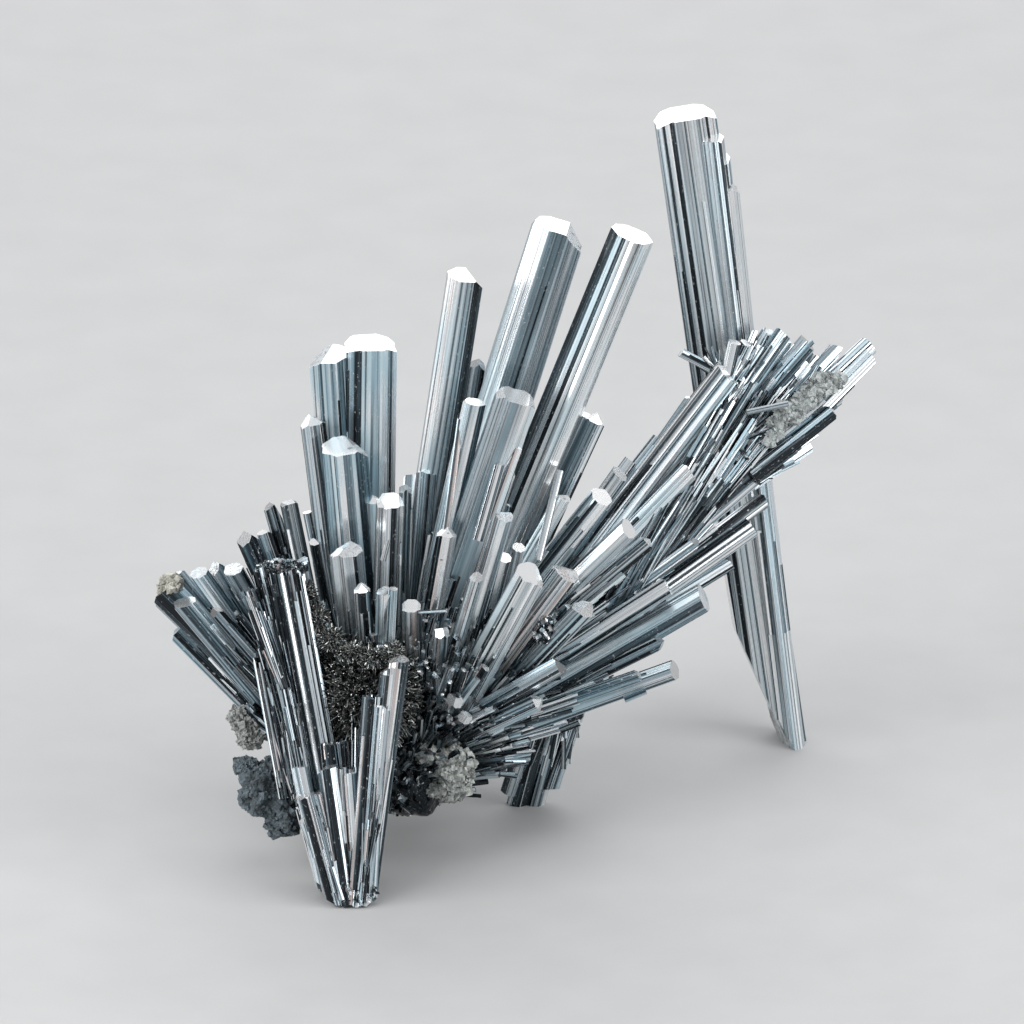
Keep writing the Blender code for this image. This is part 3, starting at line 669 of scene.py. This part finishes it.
def crystal(gathered, spec, rng):
    """One fluted crystal with its tip cut by flat faces."""
    length = course(spec).length
    width, depth = spec.width * STEP, spec.depth * STEP
    points, grooves, bands = outline(width, depth, rng)
    top = length + (0.5 * width if ENDS[spec.end] else 0)
    bm = bmesh.new()
    groove_layer = bm.verts.layers.float.new("groove")
    band_layer = bm.faces.layers.float.new("band")
    low = [bm.verts.new((point.x, point.y, 0)) for point in points]
    high = [bm.verts.new((point.x, point.y, top)) for point in points]
    for ring in (low, high):
        for vert, groove in zip(ring, grooves):
            vert[groove_layer] = groove
    for i, vert in enumerate(low):
        after = (i + 1) % len(low)
        bm.faces.new((vert, low[after], high[after], high[i]))[band_layer] = bands[i]
    bm.faces.new(low[::-1])
    bm.faces.new(high)
    faces = list(end_faces(ENDS[spec.end], width / 2))
    if spec.width >= CHIPPED_FROM:
        faces += end_faces([chip(rng) for _ in range(CHIP_COUNT)], width / 2)
    for point, normal in faces:
        cut(bm, point + Vector((0, 0, length)), normal)
    for point, normal in end_faces(ENDS[spec.heel], width / 2):
        normal.z = -normal.z
        cut(bm, point, normal)
    matrix = placement(spec)
    lift_floor(bm, matrix)
    gathered.add_bmesh(bm, matrix, rng.random(), offset_of(rng), TIP_PAINTED_HIGHLIGHT.get(spec.end, 1.0))
    bm.free()


def offset_of(rng):
    """A place in the striations' pattern, so that no two crystals share one."""
    return np.array([rng.random() for _ in range(3)])


def lean_of(width, rng):
    """A plane that cuts a thin crystal's tip, as its slopes to the sides and its height."""
    slopes = rng.uniform(-LATH_SLANT, LATH_SLANT), rng.uniform(-LATH_SLANT, LATH_SLANT)
    return *slopes, rng.uniform(0, 0.2 * width)


def lath(gathered, foot, tip, width, depth, rng, sides=6, painted_tip_highlight=LATH_PAINTED_HIGHLIGHT):
    """One thin crystal with a slanting or pointed tip. The last argument is how strong a painted highlight
    the tip may take; it scales the tip faces' shades too.
    """
    length = (tip - foot).length
    angles = [(i + rng.uniform(-0.2, 0.2)) * 2 * math.pi / sides for i in range(sides)]
    ring = [(0.5 * width * math.cos(a), 0.5 * depth * math.sin(a)) for a in angles]
    leans = [lean_of(width, rng) for _ in range(2)]

    def roof(x, y):
        return length + min(0.0, *(dx * x + dy * y + up for dx, dy, up in leans))

    axis = (tip - foot).normalized()
    matrix = stand(foot, axis, axis.orthogonal().normalized(), rng.uniform(0, math.tau))
    local = [(x, y, 0) for x, y in ring] + [(x, y, roof(x, y)) for x, y in ring]
    local.append((0, 0, roof(0, 0)))
    faces = [(i, (i + 1) % sides, sides + (i + 1) % sides, sides + i) for i in range(sides)]
    faces += [(sides + i, sides + (i + 1) % sides, 2 * sides) for i in range(sides)]
    faces.append(tuple(reversed(range(sides))))
    points = [matrix @ Vector(point) for point in local]
    if not all(fits(point) for point in points):
        return
    bands = [rng.choice(STRIP_SHADES) for _ in faces]
    # The tip faces' shades and their painted highlight both scale with the highlight strength.
    bands[sides : 2 * sides] = [painted_tip_highlight * band for band in bands[sides : 2 * sides]]
    ends = [0.0] * sides + [painted_tip_highlight * rng.random() ** 2] * sides + [0.0]
    gathered.add(local, faces, bands, ends, matrix, rng.random(), offset_of(rng))


def fits(point):
    """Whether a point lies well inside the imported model's box."""
    low, high = CAD_BOX
    return all(low[i] + EDGE_ROOM < point[i] < high[i] - EDGE_ROOM for i in range(3))


def between(first, second, share, reach):
    """Foot and tip, in metres, of a crystal between two, which is as long as reach times theirs."""
    foot = place(*first.foot).lerp(place(*second.foot), share)
    tip = place(*first.tip).lerp(place(*second.tip), share)
    return foot, foot.lerp(tip, reach)


def any_way(rng):
    """A direction at random."""
    return Vector([rng.gauss(0, 1) for _ in range(3)]).normalized()


def wander(vector, size, rng):
    """The vector, moved by up to size along each axis."""
    return vector + Vector([rng.uniform(-size, size) for _ in range(3)])


def bundle(gathered, spec, rng):
    """Many thin crystals side by side in place of a thick one."""
    length = course(spec).length
    matrix = placement(spec)
    for _ in range(round(spec.width * spec.depth * FIBRES_A_SQUARE_STEP)):
        angle, out = rng.uniform(0, math.tau), rng.random() ** 0.4
        x = 0.5 * out * spec.width * STEP * math.cos(angle)
        y = 0.5 * out * spec.depth * STEP * math.sin(angle)
        foot = matrix @ Vector((0.9 * x, 0.9 * y, rng.uniform(0.0, 0.35) * length))
        tip = matrix @ Vector((x, y, length * (1 - 0.3 * rng.random() ** 2.5)))
        if foot.z < FIBRE_FLOOR * STEP:
            foot = foot.lerp(tip, (FIBRE_FLOOR * STEP - foot.z) / (tip.z - foot.z))
        width = rng.uniform(*FIBRE_WIDTH) * STEP
        lath(gathered, foot, tip, width, width * rng.uniform(0.5, 0.9), rng)


def surface_laths(gathered, spec, rng):
    """Thin crystals grown along the sides of a main one, each of which ends in a step of its own."""
    length = course(spec).length
    matrix = placement(spec)
    width, depth = spec.width * STEP, spec.depth * STEP
    for _ in range(round(LATHS_A_STEP * (spec.width + spec.depth))):
        angle = rng.uniform(0, math.tau)
        out = Vector((0.47 * width * math.cos(angle), 0.47 * depth * math.sin(angle), 0))
        thick = rng.uniform(0.6, 2.2) * MM * min(1.0, 0.4 + spec.width / 40)
        low = 0.0 if spec.heel == "square" else CUT_HEEL
        start = matrix @ (out + Vector((0, 0, low * length)))
        height = length * rng.uniform(low + 0.2, 0.93)
        stop = matrix @ (out * rng.uniform(0.96, 1.02) + Vector((0, 0, height)))
        if start.z < thick:
            start = start.lerp(stop, (thick - start.z) / max(stop.z - start.z, thick))
        lath(gathered, start, stop, thick, thick * rng.uniform(0.5, 0.9), rng)


def fill(gathered, crystals, count, reach, widths, forward, rng):
    """Crystals between a group's main ones. Most are short, and the short ones stand in front."""
    low, high = reach
    for _ in range(count):
        first = rng.choice(crystals)
        near = sorted(crystals, key=lambda other: math.dist(first.tip, other.tip))[1:4]
        length = rng.random() ** 1.6
        foot, tip = between(first, rng.choice(near), rng.random(), low + (high - low) * length)
        width = rng.uniform(*widths) * STEP
        ahead = rng.random() * (1 - length) * forward * TOWARD
        foot = wander(foot, 5 * STEP, rng) + ahead
        tip = wander(tip, 7 * STEP, rng) + ahead
        start = foot.lerp(tip, rng.uniform(0.05, 0.4))
        lath(gathered, start, tip, width, width * rng.uniform(0.6, 0.95), rng)


def tufts(gathered, lump, crystals, count, lengths, widths, stray, rng):
    """Short crystals all over a lump, which point the way of the crystals that grow from it."""
    axes = [course(spec).normalized() for spec in crystals]
    centre = place(*lump.centre)
    for _ in range(count):
        way = any_way(rng)
        foot = on_lump(lump, way, 0.8)
        out = (foot - centre).normalized()
        axis = max((rng.choice(axes) for _ in range(3)), key=out.dot)
        length = rng.uniform(*lengths) * STEP
        if out.dot(axis) < -0.3:
            axis = out
            length *= 0.3
        heading = wander(axis + 0.25 * out, stray, rng).normalized()
        width = rng.uniform(*widths) * STEP
        depth = width * rng.uniform(0.6, 0.95)
        lath(gathered, foot, foot + length * heading, width, depth, rng, painted_tip_highlight=TUFT_PAINTED_HIGHLIGHT)


def flattened(way, facets):
    """The share of its radius that a boulder keeps towards way. A facet is a normal and a distance."""
    cuts = [distance / way.dot(normal) for normal, distance in facets if way.dot(normal) > 0.1]
    return min([1.0] + cuts)


def on_lump(lump, way, share=1.0, extra=0.0):
    """The point of a lump towards way, at a share of its radius and some steps more."""
    parts = zip(lump.centre, lump.radii, way)
    return place(*(at + (share * radius + extra) * part for at, radius, part in parts))


def lump_mesh(gathered, lump, detail, grit, rng, facets=()):
    """A rough boulder. Grit is how far its angular crumbs stand out, in steps."""
    bm = bmesh.new()
    bmesh.ops.create_icosphere(bm, subdivisions=detail, radius=1)
    groove = bm.verts.layers.float.new("groove")
    bm.faces.layers.float.new("band")
    away = lump.seed * Vector((3.7, 1.9, 5.3))
    for vert in bm.verts:
        way = vert.co.copy()
        broad = noise.noise(way * 1.6 + away)
        fine = noise.noise(way * 4 + away)
        swell = flattened(way, facets) * (1 + lump.roughness * (broad + 0.5 * fine))
        coarse_cells = noise.voronoi(way * 4.5 + away)[0]
        fine_cells = noise.voronoi(way * 13 + away)[0]
        relief = 0.7 * (coarse_cells[1] - coarse_cells[0]) + 0.5 * (fine_cells[1] - fine_cells[0]) - 0.4
        # groove is how deep the point lies between the crumbs, where painted shade is put.
        vert[groove] = max(0.0, min(1.0, -2 * relief))
        vert.co = on_lump(lump, way, swell, grit * relief)
    bm.normal_update()
    bmesh.ops.recalc_face_normals(bm, faces=bm.faces)
    gathered.add_bmesh(bm, Matrix(), rng.random(), np.zeros(3))
    bm.free()


def crumbs(gathered, lump, count, sizes, rng, facets=()):
    """Angular grains that lie on a lump."""
    for _ in range(count):
        way = any_way(rng)
        middle = on_lump(lump, way, flattened(way, facets))
        size = rng.uniform(*sizes) * STEP
        bm = bmesh.new()
        bmesh.ops.create_cube(bm, size=1.5 * size)
        bm.verts.layers.float.new("groove")
        band = bm.faces.layers.float.new("band")
        for face in bm.faces:
            face[band] = rng.choice(STRIP_SHADES)
        for vert in bm.verts:
            vert.co = wander(vert.co, 0.35 * size, rng)
        turn = Matrix.Rotation(rng.uniform(0, math.tau), 4, way)
        squash = Matrix.Diagonal((1, rng.uniform(0.5, 1), 1, 1))
        matrix = Matrix.Translation(middle) @ (turn @ squash)
        if all(fits(matrix @ vert.co) for vert in bm.verts):
            gathered.add_bmesh(bm, matrix, rng.random(), np.array(middle))
        bm.free()


def needles(gathered, lump, count, lengths, widths, rng):
    """Fine needles that stand out of a lump."""
    for _ in range(count):
        foot = on_lump(lump, any_way(rng), 0.92)
        out = (foot - place(*lump.centre)).normalized()
        tip = foot + rng.uniform(*lengths) * STEP * wander(out, 1.5, rng).normalized()
        thick = rng.uniform(*widths) * STEP
        lath(gathered, foot, tip, thick, thick, rng, sides=4)


def group_piece(name, group, material, rng):
    """A group's main crystals, the thin ones on and between them, and the tufts that hide its base."""
    gathered = Gathered()
    for spec in group.crystals:
        if name in FIBROUS and spec.heel == "square":
            bundle(gathered, spec, rng)
        else:
            crystal(gathered, spec, rng)
            surface_laths(gathered, spec, rng)
    for spec in DETAILS.get(name, ()):
        crystal(gathered, spec, rng)
    count, reach, _, forward = group.filling
    fill(gathered, group.crystals, *group.filling, rng)
    fill(gathered, group.crystals, 2 * count, reach, FINE_WIDTHS, 0.7 * forward, rng)
    if name in THICKETS:
        fill(gathered, THICKETS[name], *THICKET_FILLING, rng)
    if name in RUBBLE:
        crumbs(gathered, RUBBLE[name], *RUBBLE_CRUMBS, rng)
    if name in KNOTS:
        lump_mesh(gathered, KNOTS[name], *KNOT_MESH, rng)
        tufts(gathered, KNOTS[name], group.crystals, *ODD_TUFTS.get(name, KNOT_TUFTS), rng)
    gathered.piece(name + "_striated", material, name)


def root_piece(material, rng):
    """The dark mass that the groups grow from, with tufts that rise as they do."""
    gathered = Gathered()
    stems = [spec for name in ROOT_GROUPS for spec in GROUPS[name].crystals]
    rising = [spec for spec in stems if spec.tip[1] < spec.foot[1]]
    lump_mesh(gathered, ROOT_LUMP, *ROOT_MESH, rng)
    crumbs(gathered, ROOT_LUMP, *ROOT_CRUMBS, rng)
    tufts(gathered, ROOT_LUMP, rising, *ROOT_TUFTS, rng)
    gathered.piece("root_crystals", material, "root_mass")


def druse_piece(material, rng):
    """The crust of needles in the hollow, and the finer ones along its rim."""
    gathered = Gathered()
    lump_mesh(gathered, NEEDLE_CRUST, *DRUSE_MESH, rng)
    needles(gathered, NEEDLE_CRUST, *NEEDLES, rng)
    for lump in NEEDLE_RIM:
        needles(gathered, lump, *RIM_NEEDLES, rng)
    gathered.piece("needle_druse", material, "needle_crust")


def chain(lumps, count, stray, shares, rng):
    """Small lumps in a crust that runs through the large ones."""
    for first, second in zip(lumps, lumps[1:]):
        ends = list(zip(first.centre, second.centre))
        for i in range(count):
            centre = [a + (b - a) * i / count + rng.uniform(-stray, stray) for a, b in ends]
            share = rng.uniform(*shares)
            radii = [share * rng.uniform(0.8, 1.2) * radius for radius in first.radii]
            yield first._replace(centre=centre, radii=radii, seed=first.seed + i)


def matrix_piece(name, lumps, material, rng):
    """Angular boulders with grains on them."""
    gathered = Gathered()
    if name in ROCK_CHAINS:
        lumps = list(chain(lumps, *ROCK_CHAINS[name], rng))
    for lump in lumps:
        radius = sum(lump.radii) / 3
        facets = [(any_way(rng), rng.uniform(*FACET_REACH)) for _ in range(ROCK_FACETS)]
        detail = 5 if radius > CRUMBED_RADIUS else 4
        lump_mesh(gathered, lump, detail, ROCK_GRIT * radius, rng, facets)
        covered = min(1.0, (radius / CRUMBED_RADIUS) ** 2)
        for count, sizes in ROCK_CRUMBS:
            crumbs(gathered, lump, round(count * covered), sizes, rng, facets)
    gathered.piece(name + "_rock", material, name if name in MATRIX_LUMPS else None)


# Materials.


def feed(tree, target, inputs):
    """Sets or links a node's inputs, each by name or number."""
    for key, value in inputs.items():
        if isinstance(value, bpy.types.NodeSocket):
            tree.links.new(value, target.inputs[key])
        else:
            target.inputs[key].default_value = value


def node(tree, kind, inputs, **settings):
    """A new node with its inputs and settings."""
    made = tree.nodes.new(kind)
    for key, value in settings.items():
        setattr(made, key, value)
    feed(tree, made, inputs)
    return made


def ramp(tree, factor, stops):
    """Grey or colour that changes with factor through the stops, each a position and a colour or a grey."""
    made = node(tree, "ShaderNodeValToRGB", {"Fac": factor})
    elements = made.color_ramp.elements
    while len(elements) < len(stops):
        elements.new(0.5)
    for element, (position, colour) in zip(elements, stops):
        element.position = position
        element.color = (*colour, 1) if isinstance(colour, tuple) else (colour, colour, colour, 1)
    return made.outputs["Color"]


def mixed(tree, factor, first, second, blend="MIX"):
    """Two colours mixed by factor."""
    inputs = {0: factor, 6: first, 7: second}
    return node(tree, "ShaderNodeMix", inputs, data_type="RGBA", blend_type=blend).outputs[2]


def maths(tree, operation, first, second):
    """Two values put together."""
    return node(tree, "ShaderNodeMath", {0: first, 1: second}, operation=operation).outputs[0]


def attribute(tree, name, output="Fac"):
    """One of the values that Gathered writes on a mesh."""
    return node(tree, "ShaderNodeAttribute", {}, attribute_name=name).outputs[output]


def streaks(tree, coordinates, stretch, scale, detail):
    """Noise that is drawn out along the crystal."""
    drawn = node(tree, "ShaderNodeVectorMath", {0: coordinates, 1: (1, 1, stretch)}, operation="MULTIPLY")
    made = node(tree, "ShaderNodeTexNoise", {"Vector": drawn.outputs[0], "Scale": scale, "Detail": detail})
    return made.outputs["Fac"]


def painted_groove_shade(tree, colour, share):
    """A colour with painted shade: darker, by up to a share, deep in grooves and pits."""
    grooves = maths(tree, "MULTIPLY", attribute(tree, "groove"), share)
    return mixed(tree, grooves, colour, (0.02, 0.025, 0.03, 1))


def new_material(name):
    """A material, its node tree and its shader."""
    material = bpy.data.materials.new(name)
    material.use_nodes = True
    return material, material.node_tree, material.node_tree.nodes["Principled BSDF"]


def stibnite(name, stops, painted_light_shift, blue=0.7, brown=0.4, painted_highlight=1.0):
    """Bright lead-grey metal, striated along each crystal, with bluish patches and brownish streaks.

    Part of each face's shade is painted reflection, its flutes and fine striae take painted shade, and
    its tips take a painted highlight.
    """
    material, tree, shader = new_material(name)
    grain = attribute(tree, "grain", "Vector")
    end = attribute(tree, "end")
    striae, clouds = streaks(tree, grain, *STRIAE), streaks(tree, grain, *CLOUDS)
    added = (
        (streaks(tree, grain, *BANDS), 0.6),
        (striae, 0.55),
        (attribute(tree, "tone"), 0.15),
        (clouds, 0.4),
    )
    # Each face's band, partly painted reflection, and the group's shift, partly painted light and shade,
    # start the shade.
    shade = maths(tree, "ADD", attribute(tree, "band"), painted_light_shift - 0.5 * sum(share for _, share in added))
    for part, share in added:
        shade = maths(tree, "ADD", shade, maths(tree, "MULTIPLY", part, share))
    colour = ramp(tree, shade, stops)
    patches = ramp(tree, clouds, ((0.44, 0.0), (0.62, blue)))
    colour = mixed(tree, patches, colour, (0.62, 0.78, 0.84, 1), "MULTIPLY")
    rust = ramp(tree, streaks(tree, grain, *RUST), ((0.57, 0.0), (0.66, brown)))
    colour = mixed(tree, rust, colour, (0.80, 0.62, 0.56, 1), "MULTIPLY")
    # Painted shade: fine dark lines where the striae noise is low, in the valleys of the striae bump.
    painted_striae_shade = ramp(tree, striae, ((0.35, 0.75), (0.41, 0.0)))
    colour = mixed(tree, painted_striae_shade, colour, (0.05, 0.065, 0.075, 1))
    colour = painted_groove_shade(tree, colour, 0.85)
    specks = ramp(tree, streaks(tree, grain, *SPECKS), ((0.64, 0.0), (0.70, 0.6)))
    colour = mixed(tree, specks, colour, (0.62, 0.66, 0.68, 1))
    # Painted highlight: tip faces turn near-white by their end value, broken by darker chips.
    chips = ramp(tree, streaks(tree, grain, *CHIPS), ((0.29, 0.8), (0.33, 0.0)))
    tip = mixed(tree, chips, (0.97, 0.97, 0.97, 1), (0.3, 0.36, 0.40, 1))
    colour = mixed(tree, maths(tree, "MULTIPLY", end, painted_highlight), colour, tip)
    rough = ramp(tree, striae, ((0.35, 0.16), (0.65, 0.30)))
    rough = mixed(tree, ramp(tree, clouds, ((0.5, 0.0), (0.62, 0.5))), rough, (0.42, 0.42, 0.42, 1))
    rough = mixed(tree, end, rough, (0.2, 0.2, 0.2, 1))
    ribbed = maths(tree, "SUBTRACT", 0.35, maths(tree, "MULTIPLY", end, 0.35))
    bump = node(tree, "ShaderNodeBump", {"Strength": ribbed, "Distance": 0.0001, "Height": striae})
    inputs = {"Base Color": colour, "Metallic": 0.75, "Roughness": rough, "Normal": bump.outputs[0]}
    feed(tree, shader, inputs)
    return material


def stone(name, light, dark, stain):
    """Dull, rough rock with pale grains, and painted shade in its pits and in the dimples of its bump."""
    material, tree, shader = new_material(name)
    grain = attribute(tree, "grain", "Vector")
    patches = streaks(tree, grain, 1.0, 260, 5)
    grit = streaks(tree, grain, 1.0, 1800, 4)
    cells = node(tree, "ShaderNodeTexVoronoi", {"Vector": grain, "Scale": 1100.0}).outputs["Distance"]
    colour = ramp(tree, patches, ((0.32, dark), (0.43, tuple(0.6 * part for part in light)), (0.56, light)))
    colour = mixed(tree, ramp(tree, grit, ((0.45, 0.0), (0.7, 0.7))), colour, (*stain, 1))
    # Painted shade: dark spots in the dimples that the cells press into the bump.
    colour = mixed(tree, ramp(tree, cells, ((0.0, 0.5), (0.35, 0.0))), colour, (0.05, 0.05, 0.05, 1))
    colour = painted_groove_shade(tree, colour, 0.9)
    rough = ramp(tree, grit, ((0.3, 0.65), (0.7, 0.95)))
    height = maths(tree, "ADD", maths(tree, "MULTIPLY", grit, 0.7), cells)
    bump = node(tree, "ShaderNodeBump", {"Strength": 0.8, "Distance": 0.0005, "Height": height})
    feed(tree, shader, {"Base Color": colour, "Roughness": rough, "Normal": bump.outputs[0]})
    return material


# The set.


def floor_material():
    material, tree, shader = new_material("pale_floor")
    on_floor = node(tree, "ShaderNodeTexCoord", {}).outputs["Object"]
    mottle = node(tree, "ShaderNodeTexNoise", {"Vector": on_floor, "Scale": 40.0, "Detail": 4.0})
    colour = ramp(tree, mottle.outputs["Fac"], ((0.3, 0.43), (0.7, 0.45)))
    feed(tree, shader, {"Base Color": colour, "Roughness": 0.7})
    return material


def make_floor():
    bm = bmesh.new()
    bmesh.ops.create_grid(bm, x_segments=1, y_segments=1, size=FLOOR_SIZE / 2)
    mesh = bpy.data.meshes.new("floor")
    bm.to_mesh(mesh)
    bm.free()
    mesh.materials.append(floor_material())
    floor = add_object("floor", mesh)


def aim(obj, target):
    """Turns a camera or a lamp to a point."""
    obj.rotation_euler = (target - obj.location).to_track_quat("-Z", "Y").to_euler()


def soft_light(name, azimuth, elevation, distance, size, power):
    """A softbox, aimed at the spray."""
    data = bpy.data.lights.new(name, "AREA")
    data.shape = "RECTANGLE"
    data.size, data.size_y = size
    data.energy = power
    lamp = add_object(name, data)
    azimuth, elevation = math.radians(azimuth), math.radians(elevation)
    flat = distance * math.cos(elevation)
    height = distance * math.sin(elevation)
    lamp.location = (flat * math.sin(azimuth), -flat * math.cos(azimuth), height)
    aim(lamp, LIT_POINT)


def make_camera():
    data = bpy.data.cameras.new("camera")
    data.sensor_width = SENSOR
    data.lens = SENSOR * CAMERA_DISTANCE / (IMAGE_SIDE * STEP)
    data.clip_end = 100
    camera = add_object("camera", data)
    middle = place(IMAGE_SIDE / 2, IMAGE_SIDE / 2, MIDDLE_TOWARD)
    camera.location = middle + CAMERA_DISTANCE * TOWARD.normalized()
    aim(camera, middle)
    bpy.context.scene.camera = camera


def make_world():
    world = bpy.data.worlds.new("studio")
    world.use_nodes = True
    back = world.node_tree.nodes["Background"]
    back.inputs["Color"].default_value = WORLD_COLOUR
    back.inputs["Strength"].default_value = WORLD_STRENGTH
    bpy.context.scene.world = world
    bpy.context.scene.view_settings.view_transform = "Standard"


def main():
    rng = random.Random(SEED)
    for name, group in GROUPS.items():
        group_piece(name, group, stibnite(name + "_metal", STEEL_SHADES, *group.look), rng)
    # The root under the crystals and the needles in the hollow are painted darker by the same shift: painted
    # shade.
    root_piece(stibnite("root_metal", STEEL_SHADES, -0.22), rng)
    druse_piece(stibnite("needle_metal", NEEDLE_SHADES, -0.1), rng)
    for name, lumps in (MATRIX_LUMPS | ROCK_CAP).items():
        matrix_piece(name, lumps, stone(name + "_stone", *STONE_SHADES[name]), rng)
    make_floor()
    make_world()
    for name, softbox in SOFTBOXES.items():
        soft_light(name, *softbox)
    make_camera()


main()
